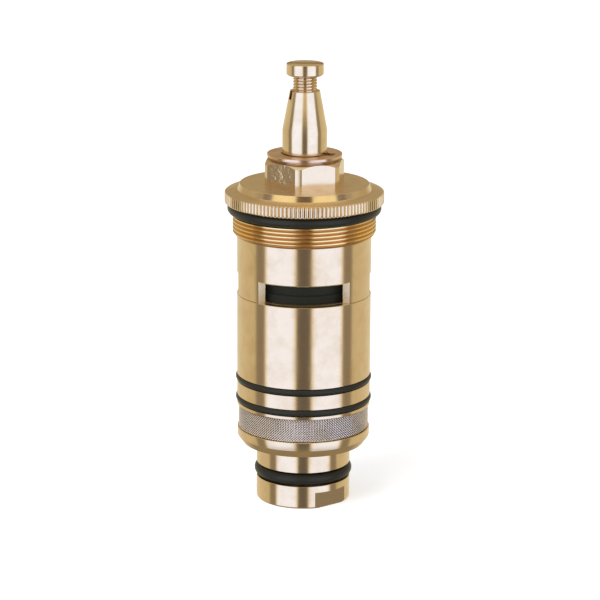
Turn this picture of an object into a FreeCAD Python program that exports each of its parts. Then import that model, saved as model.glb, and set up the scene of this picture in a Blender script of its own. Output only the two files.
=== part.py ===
"""Thermostatic mixing cartridge in turned brass, standing on its outlet nipple.

Frame: +Z up along the cartridge, origin at the centre of the nipple's foot, millimetres.
The front looks along -Y. A bearing is an angle round the axis from the front, positive towards +X.
"""
import os
from math import cos, radians, sin, tan

import FreeCAD
import Part

Vector = FreeCAD.Vector
UP = Vector(0, 0, 1)

# Fits
thread_clearance = 0.05
running_clearance = 0.06
slide_clearance = 0.10
oring_gap = 0.03
face_gap = 0.05
ring_side_gap = 0.10

# How far a cutter runs past what it cuts
overshoot = 1.0

# Outlet nipple and the strainer flange above it
nipple_radius = 11.9
nipple_height = 14.9
nipple_chamfer = 0.35
outlet_bore_radius = 6.8
spring_shelf_height = 16.0
outlet_ring_section = 3.0
outlet_ring_height = 7.7
outlet_ring_proud = 0.55
outlet_ring_groove_width = 3.6
spanner_flats_across = 21.8
spanner_flats_height = 4.2
spanner_flats_bearing = 38.7
strainer_flange_radius = 16.8
strainer_flange_top = 19.05
strainer_flange_taper_radius = 15.4
strainer_flange_taper_height = 1.95

# Strainer and the hot ports behind it
strainer_outer_radius = 16.5
strainer_wall = 0.40
strainer_lip_height = 0.55
strainer_top = 24.85
mesh_columns = 40
mesh_rows = 3
mesh_opening_width = 1.5
mesh_opening_height = 1.2
port_count = 8
port_width = 6.0
port_height = 4.2
port_foot = 20.0

# Threaded spigot and hot seat on the outlet cap
cap_spigot_radius = 14.4
cap_spigot_wall = 1.5
seat_tube_radius = 11.2
seat_tube_wall = 1.8
hot_seat_height = 29.5

# Lower body
lower_body_radius = 16.9
lower_body_foot = 24.9
cap_thread_depth_top = 31.0
shuttle_bore_radius = 13.2
body_ring_section = 1.6
body_ring_proud = 0.35
body_ring_groove_width = 1.75
body_ring_heights = {"body_oring_lower": 26.75, "body_oring_upper": 32.1}
seam_height = 54.0
spigot_radius = 14.85
spigot_top = 67.0
edge_break = 0.25

# Windows in the upper wall
upper_body_radius = 16.9
window_top = 59.3
window_bearings = (0.0, 120.0, -120.0)
window_half_angle = 44.0
spigot_window_margin = 8.0

# Mounting thread and flange
mount_thread_radius = 18.0
mount_thread_foot = 69.7
mount_thread_top = 74.35
mount_thread_chamfer = 1.0
flange_radius = 20.0
flange_underside = 77.2
flange_rim_height = 2.9
flange_rim_rise = 0.5
flange_step_radius = 16.85
flange_step_taper = 0.65
flange_plateau_height = 82.1
flange_ring_section = 2.7
flange_ring_proud_radius = 19.35
knurl_teeth = 120
knurl_depth = 0.40

# Hexagon and spindle bearing
hex_across_flats = 18.2
hex_corner_radius = 10.05
hex_bearing = 23.0
hex_top = 88.2
hex_chamfer_angle = 40.0
hex_boss_radius = 8.9
hex_boss_height = 0.30
bearing_shoulder_height = 79.3
chamber_radius = 11.0
key_count = 3
key_width = 2.7
key_reach = 1.4
key_bearing = 60.0
key_height = 6.0
key_clearance = 0.15

# Stop washer round the spindle
stop_washer_radius = 9.4
stop_washer_thickness = 1.2
stop_washer_hole_radius = 5.85
stop_washer_notch_bearing = 71.0
stop_washer_notch_width = 3.2
stop_washer_notch_radius = 7.7
stop_washer_break = 0.2

# Spindle
spindle_radius = 5.6
journal_radius = 5.20
cone_foot = 95.7
cone_top = 105.5
cone_top_radius = 3.75
cone_edge_break = 0.15
spindle_notch_bearing = -65.0
spindle_notch_width = 1.3
spindle_notch_depth = 2.1
spindle_notch_floor_radius = 1.5
collar_radius = 8.5
collar_height = 1.9
stud_radius = 4.0
stud_break = 0.4
stud_reach = 1.4
spindle_ring_section = 1.3
spindle_ring_heights = {"spindle_oring_lower": 82.6, "spindle_oring_upper": 85.8}
thrust_washer_radius = 9.2
thrust_washer_thickness = 0.45
thrust_washer_clearance = 0.3

# Handle screw in the end of the spindle
screw_radius = 3.0
screw_head_radius = 4.65
screw_head_height = 3.0
screw_head_foot = 109.3
screw_head_break = 0.35
screw_slot_width = 1.0
screw_slot_depth = 1.1
screw_length = 13.8
screw_point_break = 0.5
screw_hole_clearance = 1.0
screw_drill_angle = 30.0
screw_undercut_radius = 2.75
screw_undercut_height = 0.5

# Regulating nut and overload unit
nut_radius = 10.7
nut_end_gap = 4.3
nut_height = 18.0
nut_cavity_radius = 8.4
nut_cavity_depth = 11.0
snap_ring_radius = 8.95
snap_ring_inner_radius = 7.3
snap_ring_thickness = 0.7
snap_ring_inset = 0.4
snap_ring_gap_angle = 36.0
cup_brim_radius = 8.15
cup_brim_thickness = 1.5
cup_crown_radius = 4.3
cup_crown_break = 0.5
cup_height = 5.5
cup_socket_depth = 3.4
overload_wire = 1.8
overload_turns = 3.0
overload_spring_radius = 6.35

# Wax element
pin_radius = 1.9
pin_break = 0.25
pin_end_gap = 0.4
guide_neck_radius = 3.4
guide_neck_height = 10.0
guide_neck_break = 0.4
guide_root_width = 1.2
guide_root_height = 1.6
element_flange_radius = 7.2
element_flange_thickness = 2.0
capsule_radius = 5.4
capsule_length = 17.0
capsule_corner = 1.0
capsule_wall = 0.6
diaphragm_thickness = 1.2

# Shuttle
shuttle_top = 59.5
shuttle_foot = 33.2
shuttle_inner_radius = 11.6
shuttle_lip_radius = 9.9
shuttle_lip_height = 1.6
hub_foot = 37.5
hub_radius = 9.2
hub_thickness = 3.5
hub_collar_height = 3.6
spoke_count = 4
spoke_width = 2.6
spoke_bearing = 45.0
spoke_sink = 0.4
shuttle_ring_section = 1.4
shuttle_ring_height = 45.5
shuttle_band_inner_radius = 10.8
shuttle_band_half_height = 3.2
shuttle_band_slope = 1.0
relief_foot = 56.2
relief_top = 58.0
relief_depth = 0.35
seat_seal_thickness = 1.1
seat_seal_inner_radius = 10.0
seat_seal_outer_radius = 12.7
clip_radius = 8.1
clip_inner_radius = 5.2
clip_thickness = 0.8
clip_gap_angle = 50.0

# Return spring
return_wire = 1.4
return_turns = 6.0
return_spring_radius = 7.55
wire_facets = 8

# Sizes worked out from the ones above
thread_neck_radius = flange_ring_proud_radius - flange_ring_section
flange_rim_top = flange_underside + flange_rim_height
hex_top_face = hex_top + hex_boss_height
stop_washer_top = hex_top_face + stop_washer_thickness
bearing_bore_radius = journal_radius + running_clearance
cap_thread_bore_radius = cap_spigot_radius + thread_clearance
spigot_bore_radius = spigot_radius + thread_clearance
strainer_inner_radius = strainer_outer_radius - strainer_wall
strainer_lip_radius = strainer_inner_radius - face_gap
collar_top = bearing_shoulder_height - thrust_washer_thickness - face_gap
collar_foot = collar_top - collar_height
hub_top = hub_foot + hub_thickness
element_flange_top = hub_top + element_flange_thickness
shuttle_radius = shuttle_bore_radius - slide_clearance
hub_collar_top = hub_top + hub_collar_height
clip_foot = element_flange_top + face_gap
key_radius = nut_radius + key_reach
nut_top = bearing_shoulder_height - nut_end_gap
nut_foot = nut_top - nut_height
nut_cavity_top = nut_foot + nut_cavity_depth
stud_foot = nut_cavity_top - stud_reach
snap_ring_foot = nut_foot + snap_ring_inset
cup_brim_foot = snap_ring_foot + snap_ring_thickness
cup_brim_top = cup_brim_foot + cup_brim_thickness
cup_crown_top = cup_brim_foot + cup_height
cup_socket_top = cup_brim_foot + cup_socket_depth
pin_foot = hub_top + diaphragm_thickness + pin_end_gap
guide_neck_top = element_flange_top + guide_neck_height
capsule_foot = hub_top - capsule_length


def turned(start, *moves):
    """A solid of revolution from a closed outline of (radius, height) points.

    A move is the next point, or a pair (point on an arc, end of the arc).
    """
    edges = []
    here = Vector(start[0], 0, start[1])
    first = here
    for move in moves:
        if isinstance(move[0], tuple):
            via = Vector(move[0][0], 0, move[0][1])
            end = Vector(move[1][0], 0, move[1][1])
            edges.append(Part.Arc(here, via, end).toShape())
        else:
            end = Vector(move[0], 0, move[1])
            edges.append(Part.LineSegment(here, end).toShape())
        here = end
    edges.append(Part.LineSegment(here, first).toShape())
    face = Part.Face(Part.Wire(edges))
    return face.revolve(Vector(0, 0, 0), UP, 360)


def tube(outer, inner, foot, top):
    """A plain ring."""
    return turned((inner, foot), (outer, foot), (outer, top), (inner, top))


def rod(radius, foot, top):
    """A plain cylinder on the axis."""
    return Part.makeCylinder(radius, top - foot, Vector(0, 0, foot), UP)


def turn_to(shape, bearing):
    """Turns a shape that was made at the front to a bearing round the axis."""
    return shape.rotate(Vector(0, 0, 0), UP, bearing)


def front_block(width, near, far, foot, top):
    """A block centred on the front, from one radius to another."""
    return Part.makeBox(width, far - near, top - foot, Vector(-width / 2, -far, foot))


def sector(half_angle, inner, outer, foot, top):
    """A piece of ring centred on the front, with radial end faces."""
    def at(radius, angle):
        return Vector(radius * sin(radians(angle)), -radius * cos(radians(angle)), foot)

    outer_arc = Part.Arc(at(outer, -half_angle), at(outer, 0), at(outer, half_angle)).toShape()
    inner_arc = Part.Arc(at(inner, half_angle), at(inner, 0), at(inner, -half_angle)).toShape()
    right = Part.LineSegment(at(outer, half_angle), at(inner, half_angle)).toShape()
    left = Part.LineSegment(at(inner, -half_angle), at(outer, -half_angle)).toShape()
    face = Part.Face(Part.Wire([outer_arc, right, inner_arc, left]))
    return face.extrude(Vector(0, 0, top - foot))


def all_round(maker, bearings):
    """The same cutter or lug at several bearings, as one compound."""
    return Part.makeCompound([turn_to(maker(), bearing) for bearing in bearings])


def evenly(count, start=0.0):
    """Bearings of equal steps round the axis."""
    return [start + 360.0 * i / count for i in range(count)]


def ring_seal(outer_radius, section, height):
    """An O-ring whose outside has the given radius."""
    return Part.makeTorus(outer_radius - section / 2, section / 2, Vector(0, 0, height), UP)


def regular_polygon(count, across_flats, bearing, foot, top):
    """A prism whose first flat faces the bearing."""
    corner = across_flats / 2 / cos(radians(180.0 / count))
    points = []
    for i in range(count + 1):
        angle = radians(bearing + (i + 0.5) * 360.0 / count)
        points.append(Vector(corner * sin(angle), -corner * cos(angle), foot))
    face = Part.Face(Part.makePolygon(points))
    return face.extrude(Vector(0, 0, top - foot))


def coil(radius, wire, foot, top, turns):
    """A compression spring of faceted wire between two heights, its ends cut square to the wire."""
    rise = top - foot - wire
    helix = Part.makeHelix(rise / turns, rise, radius)
    middle = foot + wire / 2
    helix.translate(Vector(0, 0, middle))
    corners = []
    for i in range(wire_facets + 1):
        angle = radians((i + 0.5) * 360.0 / wire_facets)
        corners.append(Vector(radius + wire / 2 * cos(angle), 0, middle + wire / 2 * sin(angle)))
    section = Part.makePolygon(corners)
    return Part.Wire(helix).makePipeShell([section], True, True)


def open_ring(outer, inner, foot, top, gap_angle, bearing):
    """A snap ring with a gap centred on the bearing."""
    ring = tube(outer, inner, foot, top)
    gap = sector(gap_angle / 2, inner / 2, outer + overshoot, foot - overshoot, top + overshoot)
    return ring.cut(turn_to(gap, bearing))


def make_outlet_cap():
    """Nipple, strainer flange, threaded spigot and hot seat, turned from one bar."""
    ring_outside = nipple_radius + outlet_ring_proud
    groove_floor = ring_outside - outlet_ring_section - oring_gap
    groove_half = outlet_ring_groove_width / 2
    taper_foot = nipple_height
    taper_top = nipple_height + strainer_flange_taper_height
    lip_top = strainer_flange_top + strainer_lip_height
    tube_bore = seat_tube_radius - seat_tube_wall
    spigot_bore = cap_spigot_radius - cap_spigot_wall
    cap = turned(
        (outlet_bore_radius, 0),
        (nipple_radius - nipple_chamfer, 0),
        (nipple_radius, nipple_chamfer),
        (nipple_radius, outlet_ring_height - groove_half),
        (groove_floor, outlet_ring_height - groove_half),
        (groove_floor, outlet_ring_height + groove_half),
        (nipple_radius, outlet_ring_height + groove_half),
        (nipple_radius, taper_foot),
        (strainer_flange_taper_radius, taper_foot),
        (strainer_flange_radius, taper_top),
        (strainer_flange_radius, strainer_flange_top),
        (strainer_lip_radius, strainer_flange_top),
        (strainer_lip_radius, lip_top),
        (cap_spigot_radius, lip_top),
        (cap_spigot_radius, hot_seat_height - edge_break),
        (cap_spigot_radius - edge_break, hot_seat_height),
        (spigot_bore, hot_seat_height),
        (spigot_bore, lip_top),
        (seat_tube_radius, lip_top),
        (seat_tube_radius, hot_seat_height),
        (tube_bore, hot_seat_height),
        (tube_bore, spring_shelf_height),
        (outlet_bore_radius, spring_shelf_height),
    )

    def flat_cutter():
        return front_block(2 * nipple_radius, spanner_flats_across / 2, nipple_radius + overshoot,
                           -overshoot, spanner_flats_height)

    flats = all_round(flat_cutter, evenly(2, spanner_flats_bearing))

    def port_cutter():
        return front_block(port_width, (spigot_bore + seat_tube_radius) / 2, cap_spigot_radius + overshoot,
                           port_foot, port_foot + port_height)

    ports = all_round(port_cutter, evenly(port_count, 180.0 / port_count))
    return cap.cut(flats).cut(ports)


def make_lower_body():
    """Sleeve with two seal grooves, and a windowed, threaded spigot on top."""
    def groove(height):
        outside = lower_body_radius + body_ring_proud
        floor = outside - body_ring_section - oring_gap
        half = body_ring_groove_width / 2
        return [
            (lower_body_radius, height - half),
            (floor, height - half),
            (floor, height + half),
            (lower_body_radius, height + half),
        ]

    lip_foot = lower_body_foot - strainer_lip_height
    low_groove, high_groove = [groove(h) for h in sorted(body_ring_heights.values())]
    body = turned(
        (cap_thread_bore_radius, lip_foot),
        (strainer_lip_radius, lip_foot),
        (strainer_lip_radius, lower_body_foot),
        (lower_body_radius - edge_break, lower_body_foot),
        (lower_body_radius, lower_body_foot + edge_break),
        *low_groove,
        *high_groove,
        (lower_body_radius, seam_height - edge_break),
        (lower_body_radius - edge_break, seam_height),
        (spigot_radius, seam_height),
        (spigot_radius, spigot_top - edge_break),
        (spigot_radius - edge_break, spigot_top),
        (shuttle_bore_radius, spigot_top),
        (shuttle_bore_radius, cap_thread_depth_top),
        (cap_thread_bore_radius, cap_thread_depth_top),
    )
    half_angle = window_half_angle + spigot_window_margin

    def opening():
        return sector(half_angle, shuttle_bore_radius / 2, spigot_radius + overshoot,
                      seam_height, window_top + face_gap)

    return body.cut(all_round(opening, window_bearings))


def knurl_cutter():
    """A ring whose inside is a star, which leaves straight teeth on the flange's rim."""
    foot = flange_underside - overshoot
    top = flange_rim_top + overshoot / 2
    points = []
    steps = 2 * knurl_teeth
    for i in range(steps + 1):
        radius = flange_radius if i % 2 == 0 else flange_radius - knurl_depth
        angle = radians(i * 360.0 / steps)
        points.append(Vector(radius * sin(angle), -radius * cos(angle), foot))
    star = Part.Face(Part.makePolygon(points)).extrude(Vector(0, 0, top - foot))
    return rod(flange_radius + overshoot, foot, top).cut(star)


def make_upper_body():
    """Hexagon, flange, mounting thread and windowed wall, turned and milled from one bar."""
    hex_chamfer = (hex_corner_radius - hex_across_flats / 2) * tan(radians(hex_chamfer_angle))
    body = turned(
        (spigot_bore_radius, seam_height + face_gap),
        (upper_body_radius, seam_height + face_gap),
        (upper_body_radius, mount_thread_foot - mount_thread_chamfer),
        (mount_thread_radius, mount_thread_foot),
        (mount_thread_radius, mount_thread_top - edge_break),
        (mount_thread_radius - edge_break, mount_thread_top),
        (thread_neck_radius - oring_gap, mount_thread_top),
        (thread_neck_radius - oring_gap, flange_underside),
        (flange_radius - edge_break, flange_underside),
        (flange_radius, flange_underside + edge_break),
        (flange_radius, flange_rim_top - edge_break),
        (flange_radius - edge_break, flange_rim_top),
        (flange_step_radius, flange_rim_top + flange_rim_rise),
        (flange_step_radius - flange_step_taper, flange_plateau_height),
        (hex_corner_radius, flange_plateau_height),
        (hex_corner_radius, hex_top - hex_chamfer),
        (hex_across_flats / 2, hex_top),
        (hex_boss_radius, hex_top),
        (hex_boss_radius, hex_top_face),
        (bearing_bore_radius, hex_top_face),
        (bearing_bore_radius, bearing_shoulder_height),
        (chamber_radius, bearing_shoulder_height),
        (chamber_radius, spigot_top + face_gap),
        (spigot_bore_radius, spigot_top + face_gap),
    )
    hexagon = regular_polygon(6, hex_across_flats, hex_bearing, flange_plateau_height - overshoot,
                              hex_top_face + overshoot)
    hex_waste = tube(hex_corner_radius + overshoot, hex_boss_radius, flange_plateau_height, hex_top_face)
    body = body.cut(hex_waste.cut(hexagon)).cut(knurl_cutter())

    def keyway():
        reach = key_radius + key_clearance
        return front_block(key_width + 2 * key_clearance, chamber_radius - overshoot, reach,
                           spigot_top - overshoot, bearing_shoulder_height)

    body = body.cut(all_round(keyway, evenly(key_count, key_bearing)))

    def opening():
        return sector(window_half_angle, spigot_radius / 2, upper_body_radius + overshoot,
                      seam_height, window_top)

    return body.cut(all_round(opening, window_bearings))


def make_strainer():
    """A thin sleeve with rows of diamond openings."""
    sleeve = tube(strainer_outer_radius, strainer_inner_radius,
                  strainer_flange_top + face_gap, strainer_top)
    rows = []
    clear_foot = strainer_flange_top + strainer_lip_height
    clear_top = lower_body_foot - strainer_lip_height
    pitch = (clear_top - clear_foot) / mesh_rows
    step = 360.0 / mesh_columns
    for row in range(mesh_rows):
        middle = clear_foot + (row + 0.5) * pitch
        inside = overshoot - strainer_inner_radius
        left = Vector(-mesh_opening_width / 2, inside, middle)
        right = Vector(mesh_opening_width / 2, inside, middle)
        low = Vector(0, inside, middle - mesh_opening_height / 2)
        high = Vector(0, inside, middle + mesh_opening_height / 2)
        diamond = Part.Face(Part.makePolygon([left, low, right, high, left]))
        prism = diamond.extrude(Vector(0, -strainer_wall - 2 * overshoot, 0))
        shift = step / 2 * (row % 2)
        rows.extend(turn_to(prism.copy(), shift + step * i) for i in range(mesh_columns))
    return sleeve.cut(Part.makeCompound(rows))


def make_spindle():
    """Tapered spindle with a threaded end hole, bearing journal, thrust collar and left-hand stud."""
    def groove(height):
        floor = bearing_bore_radius - oring_gap - spindle_ring_section - oring_gap
        half = spindle_ring_section / 2 + ring_side_gap
        return [
            (journal_radius, height - half),
            (floor, height - half),
            (floor, height + half),
            (journal_radius, height + half),
        ]

    low_groove, high_groove = [groove(h) for h in sorted(spindle_ring_heights.values())]
    hole_radius = screw_radius + thread_clearance
    hole_foot = screw_head_foot - screw_length - screw_hole_clearance
    shoulder_height = stop_washer_top + face_gap
    spindle = turned(
        (0, stud_foot),
        (stud_radius - stud_break, stud_foot),
        (stud_radius, stud_foot + stud_break),
        (stud_radius, collar_foot),
        (collar_radius, collar_foot),
        (collar_radius, collar_top),
        (journal_radius, collar_top),
        *low_groove,
        *high_groove,
        (journal_radius, shoulder_height),
        (spindle_radius, shoulder_height),
        (spindle_radius, cone_foot),
        (cone_top_radius, cone_top - cone_edge_break),
        (cone_top_radius - cone_edge_break, cone_top),
        (hole_radius, cone_top),
        (hole_radius, hole_foot),
        (0, hole_foot - hole_radius * tan(radians(screw_drill_angle))),
    )
    notch = front_block(spindle_notch_width, spindle_notch_floor_radius, spindle_radius,
                        cone_top - spindle_notch_depth, cone_top + overshoot)
    return spindle.cut(turn_to(notch, spindle_notch_bearing))


def make_handle_screw():
    """Cheese-head screw with a slot, for the handle."""
    top = screw_head_foot + screw_head_height
    foot = screw_head_foot - screw_length
    screw = turned(
        (0, foot),
        (screw_radius - screw_point_break, foot),
        (screw_radius, foot + screw_point_break),
        (screw_radius, screw_head_foot - screw_undercut_height),
        (screw_undercut_radius, screw_head_foot - screw_undercut_height / 2),
        (screw_undercut_radius, screw_head_foot),
        (screw_head_radius - screw_head_break, screw_head_foot),
        (screw_head_radius, screw_head_foot + screw_head_break),
        (screw_head_radius, top - screw_head_break / 2),
        (screw_head_radius - screw_head_break / 2, top),
        (0, top),
    )
    slot = Part.makeBox(4 * screw_head_radius, screw_slot_width, 2 * screw_slot_depth,
                        Vector(-2 * screw_head_radius, -screw_slot_width / 2, top - screw_slot_depth))
    return screw.cut(slot)


def make_stop_washer():
    """Flat washer with a notch beside the spindle."""
    foot = hex_top_face
    top = stop_washer_top
    washer = turned(
        (stop_washer_hole_radius, foot),
        (stop_washer_radius - stop_washer_break, foot),
        (stop_washer_radius, foot + stop_washer_break),
        (stop_washer_radius, top - stop_washer_break),
        (stop_washer_radius - stop_washer_break, top),
        (stop_washer_hole_radius, top),
    )
    notch = front_block(stop_washer_notch_width, stop_washer_hole_radius / 2, stop_washer_notch_radius,
                        foot - overshoot, top + overshoot)
    return washer.cut(turn_to(notch, stop_washer_notch_bearing))


def make_thrust_washer():
    """Thin washer between the spindle's collar and the bearing shoulder."""
    foot = bearing_shoulder_height - thrust_washer_thickness
    return tube(thrust_washer_radius, journal_radius + thrust_washer_clearance, foot,
                bearing_shoulder_height)


def make_regulating_nut():
    """Keyed nut that rides on the spindle's stud and houses the overload spring."""
    groove_foot = snap_ring_foot - face_gap
    groove_top = snap_ring_foot + snap_ring_thickness + face_gap
    groove_radius = snap_ring_radius + face_gap
    nut = turned(
        (nut_cavity_radius, nut_foot),
        (nut_radius, nut_foot),
        (nut_radius, nut_top),
        (stud_radius + thread_clearance, nut_top),
        (stud_radius + thread_clearance, nut_cavity_top),
        (nut_cavity_radius, nut_cavity_top),
        (nut_cavity_radius, groove_top),
        (groove_radius, groove_top),
        (groove_radius, groove_foot),
        (nut_cavity_radius, groove_foot),
    )

    def key():
        return front_block(key_width, nut_radius - overshoot, key_radius, nut_top - key_height, nut_top)

    for bearing in evenly(key_count, key_bearing):
        nut = nut.fuse(turn_to(key(), bearing))
    return nut.removeSplitter()


def make_snap_ring():
    """Open ring that holds the overload cup in the nut."""
    return open_ring(snap_ring_radius, snap_ring_inner_radius, snap_ring_foot,
                     snap_ring_foot + snap_ring_thickness, snap_ring_gap_angle, 180)


def make_overload_cup():
    """Top-hat cup that the wax element's pin pushes against."""
    socket_radius = pin_radius + running_clearance
    return turned(
        (socket_radius, cup_brim_foot),
        (cup_brim_radius, cup_brim_foot),
        (cup_brim_radius, cup_brim_top),
        (cup_crown_radius, cup_brim_top),
        (cup_crown_radius, cup_crown_top - cup_crown_break),
        (cup_crown_radius - cup_crown_break, cup_crown_top),
        (0, cup_crown_top),
        (0, cup_socket_top),
        (socket_radius, cup_socket_top),
    )


def make_overload_spring():
    """Stiff spring between the cup's brim and the nut."""
    return coil(overload_spring_radius, overload_wire, cup_brim_top + face_gap,
                nut_cavity_top - face_gap, overload_turns)


def make_piston_pin():
    """Hardened pin that the wax pushes out."""
    return turned(
        (0, pin_foot),
        (pin_radius - pin_break, pin_foot),
        (pin_radius, pin_foot + pin_break),
        (pin_radius, cup_socket_top - pin_break),
        (pin_radius - pin_break, cup_socket_top),
        (0, cup_socket_top),
    )


def make_capsule_guide():
    """Flanged brass guide of the wax element."""
    bore = pin_radius + running_clearance
    return turned(
        (bore, hub_top + diaphragm_thickness),
        (capsule_radius - capsule_wall, hub_top + diaphragm_thickness),
        (capsule_radius - capsule_wall, hub_top + capsule_wall),
        (element_flange_radius, hub_top + capsule_wall),
        (element_flange_radius, element_flange_top),
        (guide_neck_radius + guide_root_width, element_flange_top),
        (guide_neck_radius, element_flange_top + guide_root_height),
        (guide_neck_radius, guide_neck_top - guide_neck_break),
        (guide_neck_radius - guide_neck_break, guide_neck_top),
        (bore, guide_neck_top),
    )


def make_wax_capsule():
    """Copper cup that holds the wax, with a rim under the guide's flange."""
    inner = capsule_radius - capsule_wall
    arc_inset = capsule_corner * (1 - cos(radians(45)))
    arc_middle = (capsule_radius - arc_inset, capsule_foot + arc_inset)
    return turned(
        (0, capsule_foot),
        (capsule_radius - capsule_corner, capsule_foot),
        (arc_middle, (capsule_radius, capsule_foot + capsule_corner)),
        (capsule_radius, hub_top),
        (element_flange_radius, hub_top),
        (element_flange_radius, hub_top + capsule_wall),
        (inner, hub_top + capsule_wall),
        (inner, capsule_foot + capsule_wall),
        (0, capsule_foot + capsule_wall),
    )


def make_wax_charge():
    """The wax inside the capsule, up to the rubber diaphragm."""
    inner = capsule_radius - capsule_wall
    return rod(inner, capsule_foot + capsule_wall, hub_top)


def make_diaphragm():
    """Rubber disc between the wax and the guide."""
    inner = capsule_radius - capsule_wall
    return rod(inner, hub_top, hub_top + diaphragm_thickness)


def make_shuttle():
    """Moulded sleeve that opens hot below and cold above, with a spoked hub for the wax element."""
    groove_floor = shuttle_bore_radius - oring_gap - shuttle_ring_section - oring_gap
    groove_half = shuttle_ring_section / 2 + ring_side_gap
    relief_radius = shuttle_radius - relief_depth
    band_foot = shuttle_ring_height - shuttle_band_half_height
    band_top = shuttle_ring_height + shuttle_band_half_height
    seal_groove = seat_seal_thickness / 2
    sleeve = turned(
        (shuttle_lip_radius, shuttle_foot),
        (seat_seal_inner_radius, shuttle_foot),
        (seat_seal_inner_radius, shuttle_foot + seal_groove),
        (seat_seal_outer_radius, shuttle_foot + seal_groove),
        (seat_seal_outer_radius, shuttle_foot),
        (shuttle_radius, shuttle_foot),
        (shuttle_radius, shuttle_ring_height - groove_half),
        (groove_floor, shuttle_ring_height - groove_half),
        (groove_floor, shuttle_ring_height + groove_half),
        (shuttle_radius, shuttle_ring_height + groove_half),
        (shuttle_radius, relief_foot - relief_depth),
        (relief_radius, relief_foot),
        (relief_radius, relief_top),
        (shuttle_radius, relief_top + relief_depth),
        (shuttle_radius, shuttle_top - edge_break),
        (shuttle_radius - edge_break, shuttle_top),
        (shuttle_inner_radius, shuttle_top),
        (shuttle_inner_radius, band_top + shuttle_band_slope),
        (shuttle_band_inner_radius, band_top),
        (shuttle_band_inner_radius, band_foot),
        (shuttle_inner_radius, band_foot - shuttle_band_slope),
        (shuttle_inner_radius, shuttle_foot + shuttle_lip_height),
        (shuttle_lip_radius, shuttle_foot + shuttle_lip_height),
    )
    collar_bore = element_flange_radius + running_clearance
    hub = turned(
        (capsule_radius + running_clearance, hub_foot),
        (hub_radius, hub_foot),
        (hub_radius, hub_collar_top),
        (collar_bore, hub_collar_top),
        (collar_bore, clip_foot + clip_thickness + face_gap),
        (clip_radius + face_gap, clip_foot + clip_thickness + face_gap),
        (clip_radius + face_gap, clip_foot - face_gap),
        (collar_bore, clip_foot - face_gap),
        (collar_bore, hub_top),
        (capsule_radius + running_clearance, hub_top),
    )

    def spoke():
        return front_block(spoke_width, hub_radius - spoke_sink, shuttle_inner_radius + spoke_sink,
                           hub_foot, hub_top)

    shuttle = sleeve.fuse(hub)
    for bearing in evenly(spoke_count, spoke_bearing):
        shuttle = shuttle.fuse(turn_to(spoke(), bearing))
    return shuttle.removeSplitter()


def make_element_clip():
    """Open ring that holds the wax element down in the shuttle's hub."""
    return open_ring(clip_radius, clip_inner_radius, clip_foot, clip_foot + clip_thickness,
                     clip_gap_angle, 180)


def make_seat_seal():
    """Rubber ring let into the shuttle's lower face."""
    return tube(seat_seal_outer_radius, seat_seal_inner_radius,
                shuttle_foot - seat_seal_thickness / 2, shuttle_foot + seat_seal_thickness / 2)


def make_return_spring():
    """Spring from the outlet cap's shelf to the shuttle's hub."""
    return coil(return_spring_radius, return_wire, spring_shelf_height + face_gap,
                hub_foot - face_gap, return_turns)


def make_ring_seals():
    """Every O-ring, by name."""
    seals = {
        "outlet_oring": ring_seal(nipple_radius + outlet_ring_proud, outlet_ring_section,
                                  outlet_ring_height),
        "flange_oring": ring_seal(flange_ring_proud_radius, flange_ring_section,
                                  flange_underside - flange_ring_section / 2 - face_gap),
        "shuttle_oring": ring_seal(shuttle_bore_radius - oring_gap, shuttle_ring_section,
                                   shuttle_ring_height),
    }
    for name, height in body_ring_heights.items():
        seals[name] = ring_seal(lower_body_radius + body_ring_proud, body_ring_section, height)
    for name, height in spindle_ring_heights.items():
        seals[name] = ring_seal(bearing_bore_radius - oring_gap, spindle_ring_section, height)
    return seals


def make_all():
    """Every piece of the cartridge, by name."""
    pieces = {
        "outlet_cap": make_outlet_cap(),
        "lower_body": make_lower_body(),
        "upper_body": make_upper_body(),
        "strainer_sleeve": make_strainer(),
        "spindle": make_spindle(),
        "handle_screw": make_handle_screw(),
        "stop_washer": make_stop_washer(),
        "thrust_washer": make_thrust_washer(),
        "regulating_nut": make_regulating_nut(),
        "cup_snap_ring": make_snap_ring(),
        "overload_cup": make_overload_cup(),
        "overload_spring": make_overload_spring(),
        "piston_pin": make_piston_pin(),
        "capsule_guide": make_capsule_guide(),
        "wax_capsule": make_wax_capsule(),
        "wax_charge": make_wax_charge(),
        "capsule_diaphragm": make_diaphragm(),
        "shuttle": make_shuttle(),
        "element_clip": make_element_clip(),
        "seat_seal": make_seat_seal(),
        "return_spring": make_return_spring(),
    }
    pieces.update(make_ring_seals())
    return pieces


def main():
    os.makedirs("parts", exist_ok=True)
    for name, shape in make_all().items():
        if len(shape.Solids) != 1 or not shape.isValid():
            raise RuntimeError(f"{name} is not one sound solid")
        piece = shape.Solids[0]
        piece.exportStep(f"parts/{name}.step")
        print(f"{name}: {piece.Volume:.1f} mm3")


main()
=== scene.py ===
"""The looks of a turned brass mixing cartridge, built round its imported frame.

Everything is in metres in the frame's axes: +Z up along the cartridge, the front looks along -Y.
A bearing is an angle round the axis from the front, positive towards +X.
"""

from math import atan2, cos, pi, radians, sin, tan

import bpy
from mathutils import Matrix, Vector


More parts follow.
